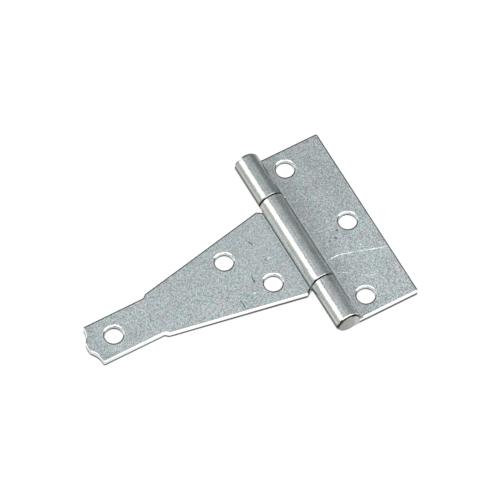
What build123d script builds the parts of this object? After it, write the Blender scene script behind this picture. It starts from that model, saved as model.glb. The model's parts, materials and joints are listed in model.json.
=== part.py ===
from build123d import *
import math
import os

# Tee hinge of plated steel sheet, lying open on its back faces.
# The pin runs along Y above the origin, the pad reaches to +X and the strap to -X.
# All sizes are in millimetres, and offsets along X are counted from the pin's axis.

# Sheet and pin
sheet = 1.75
edge_break = 0.15
roll_width = 0.3
roll_depth = 0.12
pin_diameter = 2.0
pin_clearance = 0.05
head_diameter = 4.9
head_height = 0.4
head_round = 0.2

# Barrel: the strap's knuckle between the pad's two, level with the pad at its foot and proud at its top
barrel_overhang = 0.7
strap_knuckle_length = 22.05
knuckle_gap = 0.25
seam_gap = 0.12

# Screw holes with a shallow countersunk mouth
hole_diameter = 4.0
sink_diameter = 4.8
sink_angle = 137

# Pad leaf
pad_length = 43.5
pad_reach = 16.9
pad_pair_offset = 6.75
pad_pair_inset = 4.35
pad_middle_offset = 12.2
notch_clearance = 0.4

# Strap leaf, from the knuckle to the tip
strap_reach = 50.3
wing_overhang = 0.175
wing_clearance = 1.0
relief_run = 1.7
relief_depth = 0.6
shoulder_offset = 33.75
shoulder_width = 10.7
shoulder_run = 0.8
neck_width = 9.36
near_hole_offset = 8.85
near_hole_side = -5.4
far_hole_offset = 15.5
far_hole_side = 4.0
tip_hole_inset = 6.2

# Shaped tip: a low lobe between two scallops
tip_corner_inset = 1.33
lobe_width = 2.3
lobe_height = 0.15
scallop_sag = 0.4

# Worked out from the sizes above
bore_radius = pin_diameter / 2 + pin_clearance
barrel_radius = bore_radius + sheet
outline_round = roll_width + edge_break / 3
root_round = relief_depth / 6
barrel_length = pad_length + barrel_overhang
barrel_shift = barrel_overhang / 2
barrel_top = pad_length / 2 + barrel_overhang
pad_pair_side = pad_length / 2 - pad_pair_inset
notch_edge = barrel_radius + notch_clearance
notch_width = strap_knuckle_length + 2 * knuckle_gap
pad_knuckle_length = (barrel_length - notch_width) / 2
pad_knuckle_centre = (notch_width + pad_knuckle_length) / 2
wing_offset = barrel_radius + wing_clearance
wing_side = strap_knuckle_length / 2 + wing_overhang
root_offset = wing_offset - relief_run
root_side = strap_knuckle_length / 2 - barrel_shift - relief_depth

# The sheet curls round the pin until its outer corner almost meets its own leaf.
seam_drop = math.degrees(math.asin((barrel_radius - sheet - seam_gap) / barrel_radius))
roll_angle = 270 + seam_drop
pad_roll_axis = Axis((0, 0, barrel_radius), (0, 1, 0))
strap_roll_axis = Axis((0, 0, barrel_radius), (0, -1, 0))


def tab_section(length, centre):
    """Section of a tab under the pin, where the flat leaf ends and the roll begins, with its edges as on the leaf."""
    half = length / 2
    with BuildSketch(Plane.YZ) as section:
        with Locations((centre, 0)):
            Polygon(
                (edge_break - half, 0),
                (half - edge_break, 0),
                (half, edge_break),
                (half, sheet - roll_depth),
                (half - roll_width, sheet),
                (roll_width - half, sheet),
                (-half, sheet - roll_depth),
                (-half, edge_break),
                align=None,
            )
    return section.sketch


def screw_holes(*places):
    """Countersunk holes through a flat leaf, wide on its front face."""
    with Locations(*((x, y, sheet) for x, y in places)):
        CounterSinkHole(hole_diameter / 2, sink_diameter / 2, counter_sink_angle=sink_angle)


def shear_edges(leaf):
    """Rolls the front outline over and breaks the rims on the back, apart from where the tabs start to curl."""
    front = leaf.faces().sort_by(Axis.Z)[-1]
    outline = front.outer_wire().edges().filter_by(lambda edge: abs(edge.center().X) > edge_break)
    chamfer(outline, roll_width, roll_depth, reference=front)
    back = leaf.faces().sort_by(Axis.Z)[0]
    chamfer(back.edges().filter_by(lambda edge: abs(edge.center().X) > edge_break), edge_break)


# Pad leaf: a plate notched for the strap's knuckle, with a knuckle rolled from each outer tab
with BuildPart() as pad_leaf:
    with BuildSketch() as pad_outline:
        with BuildLine():
            Polyline(
                (0, barrel_top),
                (bore_radius, barrel_top),
                (notch_edge, pad_length / 2),
                (pad_reach, pad_length / 2),
                (pad_reach, -pad_length / 2),
                (0, -pad_length / 2),
                close=True,
            )
        make_face()
        fillet(pad_outline.vertices().group_by(Axis.X)[-1], outline_round)
        with Locations((notch_edge / 2, barrel_shift)):
            Rectangle(notch_edge, notch_width, mode=Mode.SUBTRACT)
        inner_corners = pad_outline.vertices().filter_by_position(Axis.X, notch_edge, notch_edge)
        fillet(inner_corners.sort_by(Axis.Y)[:2], outline_round)
    extrude(amount=sheet)
    screw_holes(
        (pad_pair_offset, pad_pair_side),
        (pad_pair_offset, -pad_pair_side),
        (pad_middle_offset, 0),
    )
    shear_edges(pad_leaf)
    for side in (-1, 1):
        add(tab_section(pad_knuckle_length, barrel_shift + side * pad_knuckle_centre))
    revolve(axis=pad_roll_axis, revolution_arc=roll_angle)

# Strap leaf: a tapered plate with relieved corners, a necked end and one rolled knuckle
with BuildPart() as strap_leaf:
    with BuildSketch() as strap_outline:
        with BuildLine():
            flank = Polyline(
                (-root_offset, 0),
                (-root_offset, root_side),
                (-wing_offset, wing_side),
                (-shoulder_offset, shoulder_width / 2),
                (-shoulder_offset - shoulder_run, neck_width / 2),
                (tip_corner_inset - strap_reach, neck_width / 2),
            )
            scallop = SagittaArc(flank @ 1, (lobe_height - strap_reach, lobe_width / 2), scallop_sag)
            ThreePointArc(scallop @ 1, (-strap_reach, 0), (lobe_height - strap_reach, -lobe_width / 2))
            mirror(about=Plane.XZ)
        make_face()
        with Locations((-root_offset / 2, barrel_shift)):
            Rectangle(root_offset, strap_knuckle_length)
        corners = strap_outline.vertices().group_by(Axis.X)[:-2]
        fillet([corner for group in corners for corner in group], outline_round)
        roots = strap_outline.vertices().filter_by_position(Axis.X, -root_offset, -root_offset)
        fillet(roots.sort_by(Axis.Y)[1:-1], root_round)
    extrude(amount=sheet)
    screw_holes(
        (-near_hole_offset, near_hole_side),
        (-far_hole_offset, far_hole_side),
        (tip_hole_inset - strap_reach, 0),
    )
    shear_edges(strap_leaf)
    add(tab_section(strap_knuckle_length, barrel_shift))
    revolve(axis=strap_roll_axis, revolution_arc=roll_angle)

# Hinge pin: plain wire with a flat head formed at each end against the pad's knuckles
with BuildPart() as hinge_pin:
    with Locations(Location((0, barrel_shift, barrel_radius), (90, 0, 0))):
        Cylinder(pin_diameter / 2, barrel_length)
    for side in (-1, 1):
        head_centre = barrel_shift + side * (barrel_length + head_height) / 2
        with Locations(Location((0, head_centre, barrel_radius), (90, 0, 0))):
            Cylinder(head_diameter / 2, head_height)
    rims = hinge_pin.edges().filter_by(GeomType.CIRCLE).group_by(Axis.Y)
    fillet(rims[0] + rims[-1], head_round)

os.makedirs("parts", exist_ok=True)
for name, piece in (("pad_leaf", pad_leaf), ("strap_leaf", strap_leaf), ("hinge_pin", hinge_pin)):
    piece.part.label = name
    export_step(piece.part, f"parts/{name}.step")
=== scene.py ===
"""Looks and stage of a tee hinge in bright zinc plate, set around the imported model."""

import json
import math
from typing import NamedTuple

import bpy
from bpy.props import FloatProperty, FloatVectorProperty, PointerProperty
from bpy.types import Material, NodeInputs, NodeOutputs, NodeSocket, Operator, Panel, PropertyGroup
from mathutils import Matrix, Vector


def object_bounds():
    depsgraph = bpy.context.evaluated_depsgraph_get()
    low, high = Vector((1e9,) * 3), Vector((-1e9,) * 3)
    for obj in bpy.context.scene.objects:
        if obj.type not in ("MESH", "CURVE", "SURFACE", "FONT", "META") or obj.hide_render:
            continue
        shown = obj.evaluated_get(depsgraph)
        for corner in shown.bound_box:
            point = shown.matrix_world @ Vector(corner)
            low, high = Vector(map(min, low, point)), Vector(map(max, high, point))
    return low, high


bl_info = {
    "name": "Tee Hinge",
    "version": (1, 0, 0),
    "blender": (4, 5, 0),
    "location": "View3D > Sidebar > Tee Hinge",
    "description": "Gives a tee hinge its zinc plate, its scratches and a white studio",
    "category": "Object",
}

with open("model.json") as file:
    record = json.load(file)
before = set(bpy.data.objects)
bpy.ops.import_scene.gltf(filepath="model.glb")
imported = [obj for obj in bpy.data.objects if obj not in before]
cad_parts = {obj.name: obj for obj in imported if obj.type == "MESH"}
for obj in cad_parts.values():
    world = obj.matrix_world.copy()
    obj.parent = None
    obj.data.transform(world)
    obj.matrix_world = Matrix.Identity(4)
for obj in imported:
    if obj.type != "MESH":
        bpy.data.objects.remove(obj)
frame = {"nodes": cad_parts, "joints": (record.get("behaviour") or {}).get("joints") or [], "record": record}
CAD_LOW, CAD_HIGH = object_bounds()

MM = 0.001
SHEET = 1.75 * MM
HEAD_HEIGHT = 0.4 * MM
BARREL_RADIUS = frame["joints"][0]["pos_m"][2]
BARREL_TOP = CAD_HIGH.y - HEAD_HEIGHT
FLAT = (1.0, 1.0, 0.0)
UP = (0.0, 0.0, 1.0)
WHITE = (1.0, 1.0, 1.0, 1.0)


class Scratch(NamedTuple):
    """A mark on a front face: its ends, bow and width in millimetres, and how strong it is."""

    start: tuple
    end: tuple
    bow: float = 0.0
    width: float = 0.16
    tone: float = 0.6


# Bright lines are scored through the skin of the plate, dark ones are shallow and hold dirt.
PAD_BRIGHT = (
    Scratch((3.4, -6.75), (5.0, -6.2), bow=-0.1, width=0.15, tone=0.5),
    Scratch((4.3, -6.35), (8.0, -6.7), bow=-0.22, width=0.17, tone=1.0),
    Scratch((7.0, -6.45), (11.8, -7.98), bow=-0.06, width=0.16, tone=0.75),
    Scratch((10.6, -7.56), (15.6, -9.25), bow=-0.03, width=0.16, tone=0.9),
    Scratch((15.0, -9.05), (16.6, -9.45), width=0.15, tone=0.45),
    Scratch((3.7, -9.6), (6.8, -11.3), width=0.15, tone=0.5),
    Scratch((8.1, -12.6), (11.1, -14.2), bow=0.15, width=0.15, tone=0.45),
    Scratch((8.9, -13.7), (10.2, -14.45), bow=0.1, width=0.14, tone=0.4),
    Scratch((3.64, 9.6), (4.72, 9.56), bow=-0.08, width=0.15, tone=0.5),
    Scratch((11.6, -6.15), (11.85, -6.3), width=0.26, tone=0.7),
)
PAD_DARK = (
    Scratch((7.8, -2.2), (8.05, -2.7), width=0.28, tone=1.0),
    Scratch((8.85, -0.95), (9.25, -0.85), width=0.3, tone=1.0),
    Scratch((9.75, -2.4), (10.15, -2.65), width=0.24, tone=0.8),
    Scratch((7.8, -0.8), (8.3, -0.87), width=0.22, tone=0.8),
    Scratch((10.4, -3.6), (10.8, -3.9), width=0.18, tone=0.5),
    Scratch((6.0, -2.45), (6.75, -2.5), width=0.2, tone=0.7),
    Scratch((4.95, 0.25), (5.2, 0.15), width=0.26, tone=0.6),
    Scratch((12.8, -16.0), (12.5, -17.2), width=0.15, tone=0.55),
)
STRAP_BRIGHT = (
    Scratch((-13.9, -5.7), (-12.8, -5.65), width=0.26, tone=0.8),
    Scratch((-7.3, 0.2), (-6.4, 0.2), width=0.2, tone=0.6),
    Scratch((-16.85, -6.0), (-16.67, -8.15), bow=-0.12, width=0.13, tone=0.4),
)
STRAP_DARK = (
    Scratch((-8.75, 5.75), (-8.25, 4.7), width=0.2, tone=0.9),
    Scratch((-11.95, -1.5), (-12.3, -3.4), bow=0.08, width=0.17, tone=0.85),
    Scratch((-12.2, -2.7), (-12.3, -3.5), width=0.25, tone=1.0),
    Scratch((-17.0, -5.7), (-16.93, -8.1), bow=-0.12, width=0.18, tone=1.0),
    Scratch((-35.0, 0.45), (-36.0, -1.2), bow=0.1, width=0.15, tone=0.55),
    Scratch((-7.7, 0.3), (-7.45, 0.1), width=0.3, tone=1.0),
    Scratch((-16.95, -1.3), (-17.1, -1.6), width=0.26, tone=0.7),
    Scratch((-18.85, -3.8), (-18.95, -4.1), width=0.26, tone=0.7),
    Scratch((-18.85, -6.2), (-19.0, -6.5), width=0.24, tone=0.5),
    Scratch((-12.8, 2.7), (-14.95, -1.8), width=0.12, tone=0.35),
    Scratch((-16.7, 1.55), (-18.4, -3.25), width=0.12, tone=0.4),
)


class LeafLook(NamedTuple):
    """What sets one leaf's plate apart."""

    bright: tuple  # scratches
    dark: tuple
    tone: tuple  # painted shade, deepening from -Y to +Y
    reach: tuple  # tone of painted light and shade from the barrel to the far end
    grain: tuple  # contrast from the barrel to the far end
    torn_and_shade: tuple  # share of the wall that is torn and painted in shade, from the barrel to the far end
    flank: tuple  # colour of the knuckle's low side, a painted reflection of the plate beside it
    crown: float  # painted shade along the top of the knuckle
    foot: float  # painted light on its pad side close to the pad
    under: float  # share of painted shade along the bottom of its sides
    crease_shade: tuple  # where the painted shade beside it starts and ends its fade, in barrel radii, and its strength
    screws: tuple  # mounts of its holes


PAD_LOOK = LeafLook(
    bright=PAD_BRIGHT,
    dark=PAD_DARK,
    tone=(0.965, 0.875),
    reach=(0.83, 1.02),
    grain=(1.15, 1.35),
    torn_and_shade=(0.48, 0.48),
    flank=(0.5, 0.52, 0.475),
    crown=1.0,
    foot=1.1,
    under=1.0,
    crease_shade=(1.17, 1.21, 0.4),
    screws=("pad_screws", "pad_middle_screw"),
)
STRAP_LOOK = LeafLook(
    bright=STRAP_BRIGHT,
    dark=STRAP_DARK,
    tone=(0.97, 0.95),
    reach=(1.03, 1.0),
    grain=(0.8, 1.15),
    torn_and_shade=(0.46, 0.33),
    flank=(0.5, 0.47, 0.43),
    crown=0.84,
    foot=1.35,
    under=0.35,
    crease_shade=(0.98, 1.05, 1.0),
    screws=("strap_near_screw", "strap_far_screw", "strap_tip_screw"),
)


class Lamp(NamedTuple):
    """A soft lamp: the way to it from the hinge, its distance and sides in metres, and its radiance."""

    name: str
    direction: tuple
    distance: float
    size: tuple
    radiance: float


LAMPS = (
    Lamp("overhead", (0.1, 0.36, 0.925), 0.6, (0.6, 0.6), 0.325),
    Lamp("left_strip", (-0.69, 0.42, 0.585), 0.6, (0.48, 0.37), 1.5),
    Lamp("left_low", (-0.89, 0.42, 0.1), 0.6, (0.6, 0.2), 0.45),
    Lamp("left_top", (-0.31, 0.0, 0.95), 0.7, (0.36, 0.4), 1.5),
    Lamp("front_top", (0.2, -0.37, 0.907), 0.7, (0.7, 0.4), 1.8),
    Lamp("front_fill", (0.1, -0.9, 0.43), 0.8, (1.0, 0.5), 3.0),
)
LAMP_POWER = 4.0  # watts for each square metre of a lamp of radiance 1


class Fade(NamedTuple):
    """A smooth change between two places on a scale, and the values at its two ends."""

    low: float
    high: float
    at_low: float = 0.0
    at_high: float = 1.0


# Grain and scratches, over noise, over a line's width and length, and over height
MOTTLE = Fade(-0.17, 0.17)
HUES = Fade(0.32, 0.58)
CLOUD_TONE = Fade(0.3, 0.7, 0.96, 1.04)
NOISE_MIDDLE = 0.5
NOISE_RUN = (0.3, 0.7)
TINT_FINENESS = 4.0
GRAIN_RELIEF = 0.35
LINE_EDGE = Fade(0.3, 1.0, 1.0, 0.0)
LINE_ENDS = Fade(0.0, 0.12, 0.25, 1.0)
LINE_BREAKS = Fade(0.3, 0.55, 0.45, 1.0)
BREAKS_PER_METRE = 900.0
ON_FRONT = Fade(0.8 * SHEET, 0.9 * SHEET)

# Places on a leaf, in metres from the pin, along it or from a screw's axis
GRAIN_RUN = (4 * MM, 28 * MM)
# TONE_RUN and REACH_RUN carry the painted shade over the sheet
TONE_RUN = (-14 * MM, 20 * MM)
REACH_RUN = (4 * MM, 9 * MM)
TORN_AND_SHADE_RUN = (4 * MM, 45 * MM)
TIP_TONE = Fade(45 * MM, 48 * MM, 1.0, 0.9)
SCREW_REACH = Fade(2.6 * MM, 2.7 * MM, 1.0, 0.0)

# Knuckles, over height, over their facing along X and along the pin
ROLLED = Fade(1.1 * SHEET, 1.5 * SHEET)
PLAIN_SIDE = Fade(-0.45, -0.1)
FLANK_SIDE = Fade(-0.9, -0.7, 1.0, 0.0)
DARK_STREAK = (-0.14, 0.9)  # slope over the plain side, and tone on the burnished side
PALE_STREAK = (0.1, 1.1)
ROLLED_COVER = (-0.3, 0.75)
STREAKS_PER_METRE = (3600.0, 300.0, 3600.0)
DENTS_PER_METRE = 1400.0
DENT_DEPTH = 2.5
# Painted light and shade on the knuckles, by their facing and along the pin
SIDE_LIFT = Fade(0.1, 0.3, 1.0, 1.18)
SIDE_DROP = Fade(0.45, 0.65, 1.0, 0.6)
LEE_SIDE = Fade(0.55, 0.8)
LEE_END = Fade(11 * MM, 19 * MM)
LEE_TONE = 0.38
CROWN_START = Fade(-0.25, -0.1)
CROWN_END = Fade(0.12, 0.25, 1.0, 0.0)
NEAR_SIDE = Fade(0.12, 0.32)
NEAR_END = Fade(-15 * MM, -11 * MM, 1.0, 0.0)
NEAR_TONE = 1.27
FOOT_SIDE = Fade(0.6, 0.8)

# Dirt in the knuckles' joints, a dark line round the far end and painted shade along their bottom, over their
# facing along Y and Z and along the pin
END_FACING = Fade(0.85, 0.95)
FAR_RIM = Fade(0.5, 0.65)
NEAR_RIM = Fade(-0.65, -0.5, 0.55, 0.0)
JOINTS = Fade(14 * MM, 16 * MM, 1.0, 0.0)
FAR_END = Fade(BARREL_TOP - 0.45 * MM, BARREL_TOP - 0.1 * MM, 0.0, 0.6)
UNDER_RUN = (0.15, 0.42)

# Cut walls, with painted shade in their torn bands, holes and reliefs, over their facing, over the distance
# from the pin and over shares of the sheet's height
UPRIGHT = Fade(0.5, 0.6, 1.0, 0.0)
OFF_BARREL = Fade(BARREL_RADIUS, 1.02 * BARREL_RADIUS)
LAND = Fade(0.28, 0.34)
MOUTH_FOOT = Fade(0.84, 0.94, 1.0, 0.0)
RING_TOP = Fade(0.5, 0.6, 1.0, 0.0)
TORN_AND_SHADE_EDGE = Fade(-0.08, 0.08, 1.0, 0.0)
RELIEF_RUN = Fade(5 * MM, 6 * MM, 1.0, 0.0)
RELIEF_SIDE = Fade(0.35, 0.5)

# Rolled-over front edges, and the painted shade and painted highlight by the crease beside the knuckle, over
# height, facing and barrel radii, and along Y
LEVEL = Fade(1.02 * SHEET, 1.06 * SHEET, 1.0, 0.0)
ROLL_TOP = Fade(0.95, 0.97, 1.0, 0.0)
ROLL_FOOT = Fade(0.85, 0.9)
ROLL_DEPTH = 0.13 * MM
ROLL_TURN = (-0.65, 0.4)
MOUTH_TOP = Fade(0.94 * SHEET, 0.98 * SHEET)
UPWARD = Fade(-0.2, -0.1)
CREASE_END = Fade(12 * MM, 17 * MM, 1.0, 0.0)
NOTCH_RUN = Fade(1.3, 1.35, 1.0, 0.0)
NOTCH_SIDE = Fade(0.15, 0.3)
OUTER_SIDE = Fade(0.1, 0.25, 0.0, 0.4)
LIP_RISE = Fade(0.0, 0.02)
LIP_FALL = Fade(0.03, 0.06, 0.5, 0.0)

# Gloss and relief of the plate
ROUGH_SPREAD = 0.05
PLAIN_GLOSS = 0.04
EDGE_GLOSS = 0.2
SCRATCH_ROUGHNESS = 0.2
SCRATCH_DULLNESS = 0.8
RELIEF_DEPTH = 0.02 * MM

# Heads of the pin, with painted light across them, painted shade round their rims and a painted highlight,
# over noise, along X and over their facing
PIN_GRAIN = Fade(0.3, 0.7, 0.9, 1.1)
PIN_SLOPE = Fade(-2 * MM, 0.8 * MM, 0.6, 0.76)
PIN_EDGE = Fade(0.8 * MM, 1.8 * MM, 1.0, 1.45)
PIN_HUES = Fade(-1.5 * MM, 1.5 * MM)
PIN_RIM = Fade(0.6, 0.8, 1.0, 0.0)
SHINE_SIDE = 0.55
SHINE_EDGE = Fade(0.15, 0.3, 1.0, 0.0)
FAR_HEAD = Fade(0.0, MM)

# Stage: the floor and its painted contact shadow, over metres from the hinge and over how open it is, the
# room's back and the lens
FLOOR_GAP = 0.02 * MM
MIRRORED = Fade(0.03, 0.07, 1.0, 0.25)
SHUT_REACH = 0.3 * MM
SHUT_IN = Fade(0.2, 0.9)
BACK_RUN = (0.5, 0.8)
SENSOR_WIDTH = 36.0


class Nodes:
    """Makes and links the nodes of one tree."""

    def __init__(self, tree):
        self.tree = tree

    def link(self, value, socket):
        """Feeds a socket from another one, or sets its value."""
        if isinstance(value, NodeSocket):
            self.tree.links.new(value, socket)
        else:
            socket.default_value = value

    def add(self, kind, inputs=None, **settings):
        """A new node with its settings, its values and its links."""
        made = self.tree.nodes.new(kind)
        for key, value in settings.items():
            setattr(made, key, value)
        for key, value in (inputs or {}).items():
            self.link(value, made.inputs[key])
        return made

    def place(self):
        """Position on the piece."""
        return self.add("ShaderNodeTexCoord").outputs["Object"]

    def parts(self, vector):
        """The X, Y and Z of a vector."""
        return self.add("ShaderNodeSeparateXYZ", {0: vector}).outputs

    def noise(self, place, scale, detail, roughness=0.5):
        """Noise with as many features to a unit as its scale."""
        inputs = {"Vector": place, "Scale": scale, "Detail": detail, "Roughness": roughness}
        return self.add("ShaderNodeTexNoise", inputs).outputs["Fac"]

    def math(self, operation, *values, clamp=False):
        """The output of one Math node."""
        inputs = dict(enumerate(values))
        return self.add("ShaderNodeMath", inputs, operation=operation, use_clamp=clamp).outputs[0]

    def vector(self, operation, *values):
        """The output of one Vector Math node."""
        made = self.add("ShaderNodeVectorMath", dict(enumerate(values)), operation=operation)
        measures = operation in ("DOT_PRODUCT", "DISTANCE", "LENGTH")
        return made.outputs["Value" if measures else "Vector"]

    def scaled(self, vector, factor):
        """A vector made longer or shorter."""
        inputs = {0: vector, "Scale": factor}
        return self.add("ShaderNodeVectorMath", inputs, operation="SCALE").outputs["Vector"]

    def fold(self, operation, first, *others):
        """One value from several, by the same Math operation."""
        for other in others:
            first = self.math(operation, first, other)
        return first

    def product(self, *values):
        """The product of several values."""
        return self.fold("MULTIPLY", *values)

    def highest(self, *values):
        """The highest of several values, which joins masks."""
        return self.fold("MAXIMUM", *values)

    def sized(self, value):
        """A value without its sign."""
        return self.math("ABSOLUTE", value)

    def fade(self, value, low, high, at_low=0.0, at_high=1.0):
        """A smooth step of a value from one end of a range to the other."""
        inputs = {"Value": value, "From Min": low, "From Max": high, "To Min": at_low, "To Max": at_high}
        made = self.add("ShaderNodeMapRange", inputs, interpolation_type="SMOOTHSTEP")
        return made.outputs["Result"]

    def tone_where(self, mask, tone):
        """A tone where a mask is full, and 1 outside it."""
        return self.fade(mask, 0.0, 1.0, 1.0, tone)

    def blend(self, share, first, second):
        """The value between two values."""
        return self.add("ShaderNodeMix", {0: share, 2: first, 3: second}).outputs[0]

    def mix(self, share, first, second, blend="MIX"):
        """The colour between two colours."""
        inputs = {0: share, 6: first, 7: second}
        return self.add("ShaderNodeMix", inputs, data_type="RGBA", blend_type=blend).outputs[2]

    def toned(self, colour, tone):
        """A colour times a tone or another colour."""
        return self.mix(1.0, colour, tone, "MULTIPLY")


def opaque(colour):
    """A colour property as a socket's value."""
    return (*colour, 1.0)


def new_group(name, inputs, outputs):
    """A new shader node group: its nodes, the sockets that it is given and those that it gives."""
    tree = bpy.data.node_groups.new(name, "ShaderNodeTree")
    for label, kind in inputs.items():
        tree.interface.new_socket(name=label, in_out="INPUT", socket_type=kind)
    for label in outputs:
        tree.interface.new_socket(name=label, in_out="OUTPUT", socket_type="NodeSocketFloat")
    nodes = Nodes(tree)
    return nodes, nodes.add("NodeGroupInput").outputs, nodes.add("NodeGroupOutput").inputs


def grain_group():
    """Fine mottled grain of the plate, its slower clouds and hues, and the relief that they make."""
    name = "zinc_grain"
    if name in bpy.data.node_groups:
        return bpy.data.node_groups[name]
    sizes = {"Grain Size": "NodeSocketFloat", "Cloud Size": "NodeSocketFloat"}
    nodes, given, result = new_group(name, sizes, ("Grain", "Clouds", "Tint", "Height"))
    place = nodes.place()
    grain_scale = nodes.math("DIVIDE", 1.0, given["Grain Size"])
    cloud_scale = nodes.math("DIVIDE", 1.0, given["Cloud Size"])
    grain = nodes.noise(place, grain_scale, detail=2.0, roughness=0.8)
    clouds = nodes.noise(place, cloud_scale, detail=2.0)
    tint = nodes.noise(place, nodes.product(cloud_scale, TINT_FINENESS), detail=1.0)
    height = nodes.math("ADD", nodes.product(grain, GRAIN_RELIEF), clouds)
    for label, value in (("Grain", grain), ("Clouds", clouds), ("Tint", tint), ("Height", height)):
        nodes.link(value, result[label])
    return nodes.tree


def scratch_group():
    """Mask of one scratch between two points of a front face, bowed, tapered and a little broken."""
    name = "scratch_mark"
    if name in bpy.data.node_groups:
        return bpy.data.node_groups[name]
    ends = {"Start": "NodeSocketVector", "End": "NodeSocketVector"}
    sizes = {"Bow": "NodeSocketFloat", "Width": "NodeSocketFloat"}
    nodes, given, result = new_group(name, {**ends, **sizes}, ("Mask",))
    place = nodes.place()
    run = nodes.vector("SUBTRACT", given["End"], given["Start"])
    reach = nodes.vector("SUBTRACT", place, given["Start"])

    # Nearest point of the bowed line, counted from its start
    run_squared = nodes.vector("DOT_PRODUCT", run, run)
    share = nodes.math("DIVIDE", nodes.vector("DOT_PRODUCT", reach, run), run_squared, clamp=True)
    left = nodes.math("SUBTRACT", 1.0, share)
    arch = nodes.product(share, left, 4.0)
    sideways = nodes.vector("NORMALIZE", nodes.vector("CROSS_PRODUCT", run, UP))
    bend = nodes.scaled(sideways, nodes.product(arch, given["Bow"]))
    nearest = nodes.vector("ADD", nodes.scaled(run, share), bend)

    gap = nodes.vector("MULTIPLY", nodes.vector("SUBTRACT", reach, nearest), FLAT)
    line = nodes.fade(nodes.math("DIVIDE", nodes.vector("LENGTH", gap), given["Width"]), *LINE_EDGE)
    taper = nodes.fade(nodes.math("MINIMUM", share, left), *LINE_ENDS)
    broken = nodes.fade(nodes.noise(place, BREAKS_PER_METRE, detail=1.0), *LINE_BREAKS)
    on_front = nodes.fade(nodes.parts(place)["Z"], *ON_FRONT)
    nodes.link(nodes.product(line, taper, broken, on_front), result["Mask"])
    return nodes.tree


def scratches_mask(nodes, scratches):
    """One mask of several scratches, each as strong as its tone."""
    masks = []
    for scratch in scratches:
        mark = nodes.add("ShaderNodeGroup", node_tree=scratch_group())
        for label, (x, y) in (("Start", scratch.start), ("End", scratch.end)):
            mark.inputs[label].default_value = (x * MM, y * MM, SHEET)
        mark.inputs["Bow"].default_value = scratch.bow * MM
        mark.inputs["Width"].default_value = scratch.width * MM
        masks.append(nodes.product(mark.outputs["Mask"], scratch.tone))
    return nodes.highest(*masks)


def screw_centres(names):
    """Middle of every screw hole of the named mounts, on the back faces."""
    centres = []
    for mount in frame["record"]["mounts"]:
        if mount["name"] not in names:
            continue
        spread = 0.5 * MM * mount["dims"].get("spacing_y_mm", 0.0)
        x, y, _ = mount["pos_m"]
        centres += [(x, y + side, 0.0) for side in sorted({-spread, spread})]
    return centres


def screw_mask(nodes, place, names):
    """Mask of what lies in or close around the screw holes of the named mounts."""
    flat_place = nodes.vector("MULTIPLY", place, FLAT)
    gaps = [nodes.vector("DISTANCE", flat_place, centre) for centre in screw_centres(names)]
    return nodes.fade(nodes.fold("MINIMUM", *gaps), *SCREW_REACH)


class Surface(NamedTuple):
    """What every layer of the plate reads: position, facing, distance across from the pin and grain."""

    vector: NodeSocket
    place: NodeOutputs
    facing: NodeOutputs
    from_pin: NodeSocket
    grain: NodeOutputs


def read_surface(nodes, finish):
    """The sockets of a surface in a new material."""
    coordinates = nodes.add("ShaderNodeTexCoord").outputs
    place = nodes.parts(coordinates["Object"])
    facing = nodes.parts(coordinates["Normal"])
    grain = nodes.add("ShaderNodeGroup", node_tree=grain_group())
    grain.inputs["Grain Size"].default_value = finish.grain_size
    grain.inputs["Cloud Size"].default_value = finish.cloud_size
    return Surface(coordinates["Object"], place, facing, nodes.sized(place["X"]), grain.outputs)


class Layers(NamedTuple):
    """Where each layer of a leaf's plate lies."""

    rolled: NodeSocket  # knuckles
    plain: NodeSocket  # their side away from the strap
    streaks: NodeSocket  # fine lines along them
    in_hole: NodeSocket
    level: NodeSocket  # everything up to the front face
    roll: NodeSocket  # rolled-over edges of the front face


def read_layers(nodes, look, surface):
    """The masks of a leaf's layers."""
    streak_inputs = {"Vector": surface.vector, "Scale": STREAKS_PER_METRE}
    drawn = nodes.add("ShaderNodeMapping", streak_inputs).outputs[0]
    level = nodes.fade(surface.place["Z"], *LEVEL)
    upturn = surface.facing["Z"]
    return Layers(
        rolled=nodes.fade(surface.place["Z"], *ROLLED),
        plain=nodes.fade(surface.facing["X"], *PLAIN_SIDE),
        streaks=nodes.noise(drawn, 1.0, detail=2.0, roughness=0.6),
        in_hole=screw_mask(nodes, surface.vector, look.screws),
        level=level,
        roll=nodes.product(level, nodes.fade(upturn, *ROLL_TOP), nodes.fade(upturn, *ROLL_FOOT)),
    )


def sheet_colour(nodes, finish, look, surface):
    """Flat sheet: mottled grain, slow clouds and hues, and slopes of painted light and shade over the leaf.
    """
    contrast = nodes.fade(surface.from_pin, *GRAIN_RUN, *look.grain)
    mottle = nodes.product(nodes.math("SUBTRACT", surface.grain["Grain"], NOISE_MIDDLE), contrast)
    colour = nodes.mix(nodes.fade(mottle, *MOTTLE), opaque(finish.dark_grain), opaque(finish.pale_grain))
    hue = nodes.fade(surface.grain["Tint"], *HUES)
    hue = nodes.mix(hue, opaque(finish.cool_tint), opaque(finish.warm_tint))
    # Random clouds, painted shade that deepens towards +Y and, on the pad, near the barrel, and a darker tip
    tone = nodes.product(
        nodes.fade(surface.grain["Clouds"], *CLOUD_TONE),
        nodes.fade(surface.place["Y"], *TONE_RUN, *look.tone),
        nodes.fade(surface.from_pin, *REACH_RUN, *look.reach),
        nodes.fade(surface.from_pin, *TIP_TONE),
    )
    return nodes.toned(nodes.toned(colour, hue), tone)


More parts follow.
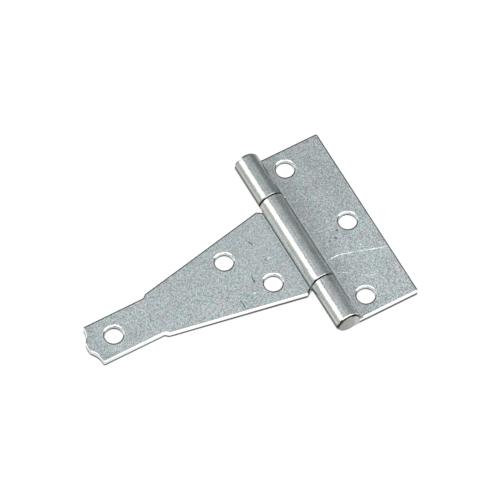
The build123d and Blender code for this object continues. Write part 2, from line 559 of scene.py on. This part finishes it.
def knuckle_colour(nodes, finish, look, surface, layers, sheet):
    """Rolled knuckles: burnished on the strap's side, plain and streaked on the pad's side, with painted
    light and shade by their facing.
    """
    side = surface.facing["X"]
    along = surface.place["Y"]
    colour = nodes.mix(layers.plain, opaque(finish.rolled_colour), opaque(finish.drawn_colour))
    # Painted reflection: the low side takes a tint like the plate beside it
    colour = nodes.mix(nodes.fade(side, *FLANK_SIDE), colour, opaque(look.flank))
    dark = nodes.math("MULTIPLY_ADD", layers.plain, *DARK_STREAK)
    pale = nodes.math("MULTIPLY_ADD", layers.plain, *PALE_STREAK)
    # Painted light and shade by facing: lighter past the top, darker down the pad side, and darker still on
    # the far knuckle's pad side
    lee = nodes.product(nodes.fade(side, *LEE_SIDE), nodes.fade(along, *LEE_END))
    tone = nodes.product(
        nodes.fade(layers.streaks, *NOISE_RUN, dark, pale),
        nodes.fade(side, *SIDE_LIFT),
        nodes.fade(side, *SIDE_DROP),
        nodes.tone_where(lee, LEE_TONE),
    )
    cover = nodes.math("MULTIPLY_ADD", layers.plain, *ROLLED_COVER)
    colour = nodes.mix(nodes.product(layers.rolled, cover), sheet, nodes.toned(colour, tone))

    # Painted shade along the top, and painted light at the near end and close to the pad
    crown = nodes.product(nodes.fade(side, *CROWN_START), nodes.fade(side, *CROWN_END), layers.rolled)
    near = nodes.product(nodes.fade(side, *NEAR_SIDE), nodes.fade(along, *NEAR_END), layers.rolled)
    foot = nodes.product(nodes.fade(side, *FOOT_SIDE), layers.rolled)
    tone = nodes.product(
        nodes.tone_where(crown, look.crown),
        nodes.tone_where(near, NEAR_TONE),
        nodes.tone_where(foot, look.foot),
    )
    return nodes.toned(colour, tone)


def knuckle_dirt_and_shade(nodes, finish, look, surface, layers, colour):
    """Dirt in the joints between the knuckles, a dark line round the barrel's far end, and painted shade
    along its bottom.
    """
    end_on = surface.facing["Y"]
    along = surface.place["Y"]
    shut = nodes.highest(
        nodes.fade(nodes.sized(end_on), *END_FACING),
        nodes.fade(end_on, *FAR_RIM),
        nodes.fade(end_on, *NEAR_RIM),
    )
    dirt_and_shade = nodes.highest(
        nodes.product(shut, nodes.fade(nodes.sized(along), *JOINTS)),
        nodes.fade(along, *FAR_END),
        # Painted shade along the bottom of the knuckle's sides
        nodes.fade(surface.facing["Z"], *UNDER_RUN, look.under, 0.0),
    )
    return nodes.mix(nodes.product(dirt_and_shade, layers.rolled), colour, opaque(finish.torn_and_shade_colour))


def wall_colour(nodes, finish, look, surface, layers, colour):
    """Cut walls: a bright band over a dull fracture band painted near-black as shade where it meets the
    floor, which is a thin ring of painted shade in the holes.
    """
    height = nodes.math("DIVIDE", surface.place["Z"], SHEET)
    upright = nodes.fade(nodes.sized(surface.facing["Z"]), *UPRIGHT)
    cut = nodes.product(upright, nodes.fade(surface.from_pin, *OFF_BARREL))
    colour = nodes.mix(cut, colour, opaque(finish.cut_and_highlight_colour))

    # Holes: painted shade below the mouth down to the torn ring, which is painted shade too, and bright again
    # at the back
    land = nodes.fade(height, *LAND)
    dull = nodes.product(land, nodes.fade(height, *MOUTH_FOOT), cut, layers.in_hole)
    colour = nodes.mix(dull, colour, opaque(finish.edge_and_shade_colour))
    ring = nodes.product(land, nodes.fade(height, *RING_TOP))

    # Outlines: torn along the back with painted shade, and painted shade all over in the reliefs beside a
    # knuckle
    top = nodes.fade(surface.from_pin, *TORN_AND_SHADE_RUN, *look.torn_and_shade)
    torn_and_shade = nodes.fade(nodes.math("SUBTRACT", height, top), *TORN_AND_SHADE_EDGE)
    relief = nodes.fade(surface.facing["X"], *RELIEF_SIDE)
    relief = nodes.product(relief, nodes.fade(surface.from_pin, *RELIEF_RUN))
    torn_and_shade = nodes.blend(layers.in_hole, nodes.highest(torn_and_shade, relief), ring)
    return nodes.mix(nodes.product(cut, torn_and_shade), colour, opaque(finish.torn_and_shade_colour))


def edge_and_shade_colour(nodes, finish, look, surface, layers, colour):
    """Rolled-over front edges and the mouths of its holes, painted shade beside the knuckle and on the outer
    edges, and a painted highlight beside it.
    """
    # Painted shade in the lower half of each hole's mouth, below a bright top
    mouth = nodes.fade(surface.place["Z"], *MOUTH_TOP)
    mouth = nodes.mix(mouth, opaque(finish.mouth_shade_colour), opaque(finish.cut_and_highlight_colour))
    edge = nodes.mix(layers.in_hole, opaque(finish.edge_and_shade_colour), mouth)
    colour = nodes.mix(layers.roll, colour, edge)

    # Painted shade on the edges beside the knuckle and on the outer edges that face +X and +Y
    facing = surface.facing
    from_pin = nodes.math("DIVIDE", surface.from_pin, BARREL_RADIUS)
    notch = nodes.fade(nodes.sized(facing["Y"]), *NOTCH_SIDE)
    notch = nodes.product(notch, nodes.fade(from_pin, *NOTCH_RUN))
    outer = nodes.fade(nodes.math("ADD", facing["X"], facing["Y"]), *OUTER_SIDE)
    outer = nodes.product(outer, nodes.tone_where(layers.in_hole, 0.0))
    dirt_and_shade = nodes.product(layers.roll, nodes.highest(notch, outer))

    # Painted shade in the crease along the knuckle, and a painted highlight as a bright lip where that shade
    # ends
    _, crease_end, _ = look.crease_shade
    past_crease = nodes.math("SUBTRACT", from_pin, crease_end)
    front = nodes.fade(facing["Y"], *UPWARD)
    front = nodes.product(front, layers.level, nodes.fade(surface.place["Y"], *CREASE_END))
    crease_shade = nodes.product(front, nodes.fade(from_pin, *look.crease_shade, 0.0))
    lip = nodes.product(front, nodes.fade(past_crease, *LIP_RISE), nodes.fade(past_crease, *LIP_FALL))
    colour = nodes.mix(lip, colour, opaque(finish.cut_and_highlight_colour))
    return nodes.mix(nodes.highest(dirt_and_shade, crease_shade), colour, opaque(finish.dirt_and_shade_colour))


def roll_normal(nodes, surface, roll):
    """Normal of the plate, which turns down further towards the wall on the rolled-over front edges."""
    depth = {"Value": surface.place["Z"], "From Min": SHEET, "From Max": SHEET - ROLL_DEPTH}
    at_top, at_foot = ROLL_TURN
    turn = nodes.add("ShaderNodeMapRange", {**depth, "To Min": at_top, "To Max": at_foot}).outputs["Result"]
    turn = nodes.math("ADD", nodes.product(turn, roll), 1.0)
    parts = {key: nodes.product(surface.facing[key], turn) for key in "XY"}
    normal = nodes.add("ShaderNodeCombineXYZ", {**parts, "Z": surface.facing["Z"]}).outputs[0]
    spaces = {"vector_type": "NORMAL", "convert_from": "OBJECT", "convert_to": "WORLD"}
    return nodes.add("ShaderNodeVectorTransform", {0: normal}, **spaces).outputs[0]


def plate_roughness(nodes, finish, surface, layers):
    """Roughness of the plate: least where it is burnished or rolled over."""
    rough = finish.sheet_roughness
    roughness = nodes.fade(surface.grain["Grain"], *NOISE_RUN, rough - ROUGH_SPREAD, rough + ROUGH_SPREAD)
    burnish = nodes.fade(layers.plain, 0.0, 1.0, rough - finish.rolled_roughness, PLAIN_GLOSS)
    roughness = nodes.math("SUBTRACT", roughness, nodes.product(layers.rolled, burnish))
    return nodes.math("SUBTRACT", roughness, nodes.product(layers.roll, EDGE_GLOSS))


def plate_relief(nodes, surface, layers):
    """Height of the grain on the sheet, and of streaks and shallow dents on the knuckles."""
    dents = nodes.noise(surface.vector, DENTS_PER_METRE, detail=1.0)
    rolled = nodes.math("ADD", layers.streaks, nodes.product(dents, DENT_DEPTH))
    return nodes.math("ADD", surface.grain["Height"], nodes.product(rolled, layers.rolled))


class Plate(NamedTuple):
    """A new material, its nodes and the inputs of its shader."""

    material: Material
    nodes: Nodes
    shader: NodeInputs


def new_plate(name):
    """A new material with nothing but its shader."""
    material = bpy.data.materials.new(name)
    material.use_nodes = True
    tree = material.node_tree
    return Plate(material, Nodes(tree), tree.nodes["Principled BSDF"].inputs)


def zinc_plate(name, finish, look):
    """Bright zinc plate of a leaf: mottled where flat, burnished where rolled and bright where cut, with
    painted light and shade over it.
    """
    material, nodes, shader = new_plate(name)
    surface = read_surface(nodes, finish)
    layers = read_layers(nodes, look, surface)
    colour = sheet_colour(nodes, finish, look, surface)
    for layer in (knuckle_colour, knuckle_dirt_and_shade, wall_colour, edge_and_shade_colour):
        colour = layer(nodes, finish, look, surface, layers, colour)
    roughness = plate_roughness(nodes, finish, surface, layers)
    height = plate_relief(nodes, surface, layers)

    # Scratches: bright ones go through the skin of the plate
    bright = scratches_mask(nodes, look.bright)
    colour = nodes.mix(bright, colour, opaque(finish.scratch_colour))
    colour = nodes.mix(scratches_mask(nodes, look.dark), colour, opaque(finish.dirt_and_shade_colour))
    roughness = nodes.math("ADD", roughness, nodes.product(bright, SCRATCH_ROUGHNESS))
    metal = nodes.math("SUBTRACT", 1.0, nodes.product(bright, SCRATCH_DULLNESS))
    height = nodes.math("SUBTRACT", height, bright)

    relief = {"Height": height, "Strength": finish.relief, "Distance": RELIEF_DEPTH}
    relief["Normal"] = roll_normal(nodes, surface, layers.roll)
    nodes.link(colour, shader["Base Color"])
    nodes.link(roughness, shader["Roughness"])
    nodes.link(metal, shader["Metallic"])
    nodes.link(nodes.add("ShaderNodeBump", relief).outputs["Normal"], shader["Normal"])
    return material


def pin_steel(name, finish):
    """Dull plate of the pin, whose heads get painted shade round their rims, painted light growing towards +X
    and a painted highlight on one side of the far head.
    """
    material, nodes, shader = new_plate(name)
    surface = read_surface(nodes, finish)
    across = surface.place["X"]
    # Random grain, and painted light that grows lighter and warmer towards +X
    tone = nodes.product(
        nodes.fade(surface.grain["Grain"], *PIN_GRAIN),
        nodes.fade(across, *PIN_SLOPE),
        nodes.fade(across, *PIN_EDGE),
    )
    hue = nodes.mix(nodes.fade(across, *PIN_HUES), opaque(finish.cool_tint), opaque(finish.warm_tint))
    colour = nodes.toned(opaque(finish.pin_colour), nodes.toned(hue, tone))
    # Painted shade round the heads' rims
    rim = nodes.fade(nodes.sized(surface.facing["Y"]), *PIN_RIM)
    colour = nodes.mix(rim, colour, opaque(finish.torn_and_shade_colour))
    # Painted highlight on one side of the far head
    shine = nodes.sized(nodes.math("ADD", surface.facing["X"], SHINE_SIDE))
    shine = nodes.product(nodes.fade(shine, *SHINE_EDGE), nodes.fade(surface.place["Y"], *FAR_HEAD))
    colour = nodes.mix(shine, colour, opaque(finish.cut_and_highlight_colour))
    nodes.link(colour, shader["Base Color"])
    shader["Metallic"].default_value = 1.0
    shader["Roughness"].default_value = finish.sheet_roughness
    return material


def dress(node_name, material):
    """Gives a CAD node its finished material."""
    for slot in frame["nodes"][node_name].material_slots:
        slot.material = material


def white_floor(stage):
    """A pale matt floor that glows white to the lens and in the metal, with a painted contact shadow where
    the hinge shuts it in, though none in the screw holes.
    """
    material = bpy.data.materials.new("white_floor")
    material.use_nodes = True
    material.node_tree.nodes.clear()
    nodes = Nodes(material.node_tree)
    place = nodes.place()
    rays = nodes.add("ShaderNodeLightPath").outputs
    mirrored = nodes.fade(nodes.vector("LENGTH", place), *MIRRORED)
    seen = nodes.highest(
        rays["Is Camera Ray"],
        nodes.product(rays["Is Glossy Ray"], mirrored),
        rays["Is Transmission Ray"],
    )
    # Painted contact shadow: the glow fades where the hinge shuts the floor in
    openness = nodes.add("ShaderNodeAmbientOcclusion", {"Distance": SHUT_REACH}, samples=8).outputs["AO"]
    in_hole = screw_mask(nodes, place, PAD_LOOK.screws + STRAP_LOOK.screws)
    lit = nodes.highest(nodes.fade(openness, *SHUT_IN), in_hole)
    matt = nodes.add("ShaderNodeBsdfDiffuse", {"Color": opaque(stage.floor_colour)}).outputs[0]
    strength = nodes.product(seen, lit, stage.floor_glow)
    glow = nodes.add("ShaderNodeEmission", {"Color": WHITE, "Strength": strength}).outputs[0]
    both = nodes.add("ShaderNodeAddShader", {0: matt, 1: glow}).outputs[0]
    nodes.add("ShaderNodeOutputMaterial", {"Surface": both})
    return material


def make_floor(stage):
    """A wide floor just under the back faces."""
    reach = stage.floor_reach
    mesh = bpy.data.meshes.new("floor")
    corners = [(-reach, -reach, 0), (reach, -reach, 0), (reach, reach, 0), (-reach, reach, 0)]
    mesh.from_pydata(corners, [], [(0, 1, 2, 3)])
    mesh.materials.append(white_floor(stage))
    floor = bpy.data.objects.new("floor", mesh)
    floor.location.z = CAD_LOW.z - FLOOR_GAP
    bpy.context.scene.collection.objects.link(floor)


def make_softbox(lamp):
    """A soft lamp that faces the hinge and looks as bright as its radiance."""
    light = bpy.data.lights.new(lamp.name, "AREA")
    light.shape = "RECTANGLE"
    light.size, light.size_y = lamp.size
    light.energy = LAMP_POWER * light.size * light.size_y * lamp.radiance
    softbox = bpy.data.objects.new(lamp.name, light)
    back = Vector(lamp.direction).normalized()
    turn = back.to_track_quat("Z", "Y").to_matrix().to_4x4()
    softbox.matrix_world = Matrix.Translation(back * lamp.distance) @ turn
    bpy.context.scene.collection.objects.link(softbox)


def make_world(stage):
    """Even dim light from all round, dimmer from behind the hinge."""
    world = bpy.data.worlds.new("studio")
    world.use_nodes = True
    nodes = Nodes(world.node_tree)
    background = world.node_tree.nodes["Background"].inputs
    way = nodes.parts(nodes.add("ShaderNodeTexCoord").outputs["Generated"])
    strength = nodes.fade(way["Y"], *BACK_RUN, stage.room_light, stage.back_light)
    nodes.link(strength, background["Strength"])
    background["Color"].default_value = WHITE
    bpy.context.scene.world = world


def make_camera(stage):
    """The lens at the photograph's viewing angle."""
    lens = bpy.data.cameras.new("camera")
    lens.sensor_width = SENSOR_WIDTH
    lens.lens = stage.lens
    lens.clip_start = 0.1 * stage.distance
    lens.clip_end = 100.0 * stage.distance
    level = math.cos(stage.elevation)
    across = math.sin(stage.azimuth) * level
    along = -math.cos(stage.azimuth) * level
    back = Vector((across, along, math.sin(stage.elevation)))
    camera = bpy.data.objects.new("camera", lens)
    camera.location = Vector(stage.aim) + back * stage.distance
    camera.rotation_mode = "QUATERNION"
    camera.rotation_quaternion = (-back).to_track_quat("-Z", "Y")
    bpy.context.scene.collection.objects.link(camera)
    bpy.context.scene.camera = camera


def colour_property(name, description, default):
    """A colour that a user may change."""
    return FloatVectorProperty(
        name=name, description=description, subtype="COLOR", default=default, min=0.0, max=1.0
    )


def share_property(name, description, default):
    """A share from 0 to 1 that a user may change."""
    return FloatProperty(
        name=name, description=description, subtype="FACTOR", default=default, min=0.0, max=1.0
    )


class HingeFinish(PropertyGroup):
    """Tones of the zinc plate, of its painted light and shade, and the size of its grain."""

    dark_grain: colour_property("Dark grain", "Darkest tone of the mottled sheet", (0.34, 0.395, 0.405))
    pale_grain: colour_property("Pale grain", "Palest tone of the mottled sheet", (0.84, 0.93, 0.945))
    cool_tint: colour_property("Cool tint", "Cool end of the sheet's slow change of hue", (0.94, 1.0, 1.0))
    warm_tint: colour_property("Warm tint", "Warm end of the sheet's slow change of hue", (1.0, 0.96, 0.965))
    rolled_colour: colour_property("Rolled colour", "Tone of the burnished knuckles", (0.53, 0.53, 0.485))
    drawn_colour: colour_property("Drawn colour", "Tone of the knuckles' pad side", (0.52, 0.565, 0.565))
    pin_colour: colour_property("Pin colour", "Tone of the pin's flat heads", (0.44, 0.43, 0.385))
    # Also the painted highlights beside the crease and on the far pin head
    cut_and_highlight_colour: colour_property("Cut colour", "Tone of a cut wall's bright upper band", (0.93, 0.95, 0.94))
    # Also the painted shade inside the holes, below their mouths
    edge_and_shade_colour: colour_property("Edge colour", "Tone of the rolled-over front edges", (0.5, 0.52, 0.51))
    # Painted shade in the lower half of a hole's mouth
    mouth_shade_colour: colour_property("Mouth colour", "Tone of a hole's mouth, lower half", (0.33, 0.345, 0.335))
    # Also painted shade: near-black where the walls meet the floor, in the holes' rings and reliefs, under
    # the knuckles and round the pin heads' rims
    torn_and_shade_colour: colour_property("Torn colour", "Tone of a cut wall's dull lower band", (0.05, 0.052, 0.047))
    scratch_colour: colour_property("Scratch colour", "Tone of a bright scratch", (0.95, 0.96, 0.96))
    # Also the painted shade on the edges beside the knuckle, on the outer edges and in the crease
    dirt_and_shade_colour: colour_property("Dirt colour", "Tone of dirt and of a dark scratch", (0.12, 0.14, 0.14))
    grain_size: FloatProperty(
        name="Grain size", description="Size of the fine mottle", unit="LENGTH", default=0.26 * MM
    )
    cloud_size: FloatProperty(
        name="Cloud size", description="Size of the slow clouds", unit="LENGTH", default=5.0 * MM
    )
    sheet_roughness: share_property("Sheet roughness", "Roughness of the flat sheet", 0.33)
    rolled_roughness: share_property("Rolled roughness", "Roughness of the burnished knuckles", 0.2)
    relief: share_property("Relief", "Strength of the grain's relief", 0.35)


class HingeStage(PropertyGroup):
    """The lens, the room and the floor."""

    azimuth: FloatProperty(
        name="Azimuth", description="Way the lens looks, from 0 along +Y", subtype="ANGLE",
        default=math.radians(-29.054),
    )
    elevation: FloatProperty(
        name="Elevation", description="Height of the lens above the floor", subtype="ANGLE",
        default=math.radians(61.241),
    )
    distance: FloatProperty(
        name="Distance", description="From the aim to the lens", unit="LENGTH", default=1058.15 * MM
    )
    aim: FloatVectorProperty(
        name="Aim", description="Point in the middle of the picture", subtype="TRANSLATION",
        default=(-8.877 * MM, 4.676 * MM, 0.0),
    )
    lens: FloatProperty(
        name="Lens", description="Focal length in millimetres", unit="CAMERA", default=360.0
    )
    room_light: FloatProperty(name="Room light", description="Strength of the light all round", default=0.3)
    back_light: FloatProperty(name="Back light", description="Strength of the light from behind", default=0.1)
    floor_colour: colour_property("Floor colour", "Tone of the floor", (0.2, 0.2, 0.2))
    floor_glow: FloatProperty(
        name="Floor glow", description="White that the floor shows by itself", default=0.85
    )
    floor_reach: FloatProperty(
        name="Floor reach", description="Half the floor's side", unit="LENGTH", default=3.0
    )


class HINGE_OT_pad_leaf(Operator):
    """Plate the pad leaf and score its scratches"""

    bl_idname = "hinge.pad_leaf"
    bl_label = "Pad leaf"

    def execute(self, context):
        dress("pad_leaf", zinc_plate("zinc_pad", context.scene.hinge_finish, PAD_LOOK))
        return {"FINISHED"}


class HINGE_OT_strap_leaf(Operator):
    """Plate the strap leaf and score its scratches"""

    bl_idname = "hinge.strap_leaf"
    bl_label = "Strap leaf"

    def execute(self, context):
        dress("strap_leaf", zinc_plate("zinc_strap", context.scene.hinge_finish, STRAP_LOOK))
        return {"FINISHED"}


class HINGE_OT_hinge_pin(Operator):
    """Plate the hinge pin"""

    bl_idname = "hinge.hinge_pin"
    bl_label = "Hinge pin"

    def execute(self, context):
        dress("hinge_pin", pin_steel("zinc_pin", context.scene.hinge_finish))
        return {"FINISHED"}


class HINGE_OT_stage(Operator):
    """Set the floor, the lamps and the lens"""

    bl_idname = "hinge.stage"
    bl_label = "Stage"

    def execute(self, context):
        stage = context.scene.hinge_stage
        make_floor(stage)
        make_world(stage)
        for lamp in LAMPS:
            make_softbox(lamp)
        make_camera(stage)
        context.scene.view_settings.view_transform = "Standard"
        return {"FINISHED"}


class HINGE_PT_panel(Panel):
    """Sidebar list of the hinge's pieces and its settings"""

    bl_idname = "HINGE_PT_panel"
    bl_label = "Tee Hinge"
    bl_space_type = "VIEW_3D"
    bl_region_type = "UI"
    bl_category = "Tee Hinge"

    def draw(self, context):
        layout = self.layout
        for operator in OPERATORS:
            layout.operator(operator.bl_idname)
        for settings in (context.scene.hinge_finish, context.scene.hinge_stage):
            box = layout.box()
            for key in settings.__annotations__:
                box.prop(settings, key)


SETTINGS = (HingeFinish, HingeStage)
OPERATORS = (HINGE_OT_pad_leaf, HINGE_OT_strap_leaf, HINGE_OT_hinge_pin, HINGE_OT_stage)


def register():
    for kind in (*SETTINGS, *OPERATORS, HINGE_PT_panel):
        bpy.utils.register_class(kind)
    bpy.types.Scene.hinge_finish = PointerProperty(type=HingeFinish)
    bpy.types.Scene.hinge_stage = PointerProperty(type=HingeStage)


def unregister():
    del bpy.types.Scene.hinge_stage
    del bpy.types.Scene.hinge_finish
    for kind in reversed((*SETTINGS, *OPERATORS, HINGE_PT_panel)):
        bpy.utils.unregister_class(kind)


def main():
    register()
    bpy.ops.hinge.pad_leaf()
    bpy.ops.hinge.strap_leaf()
    bpy.ops.hinge.hinge_pin()
    bpy.ops.hinge.stage()


if __name__ == "__main__":
    main()
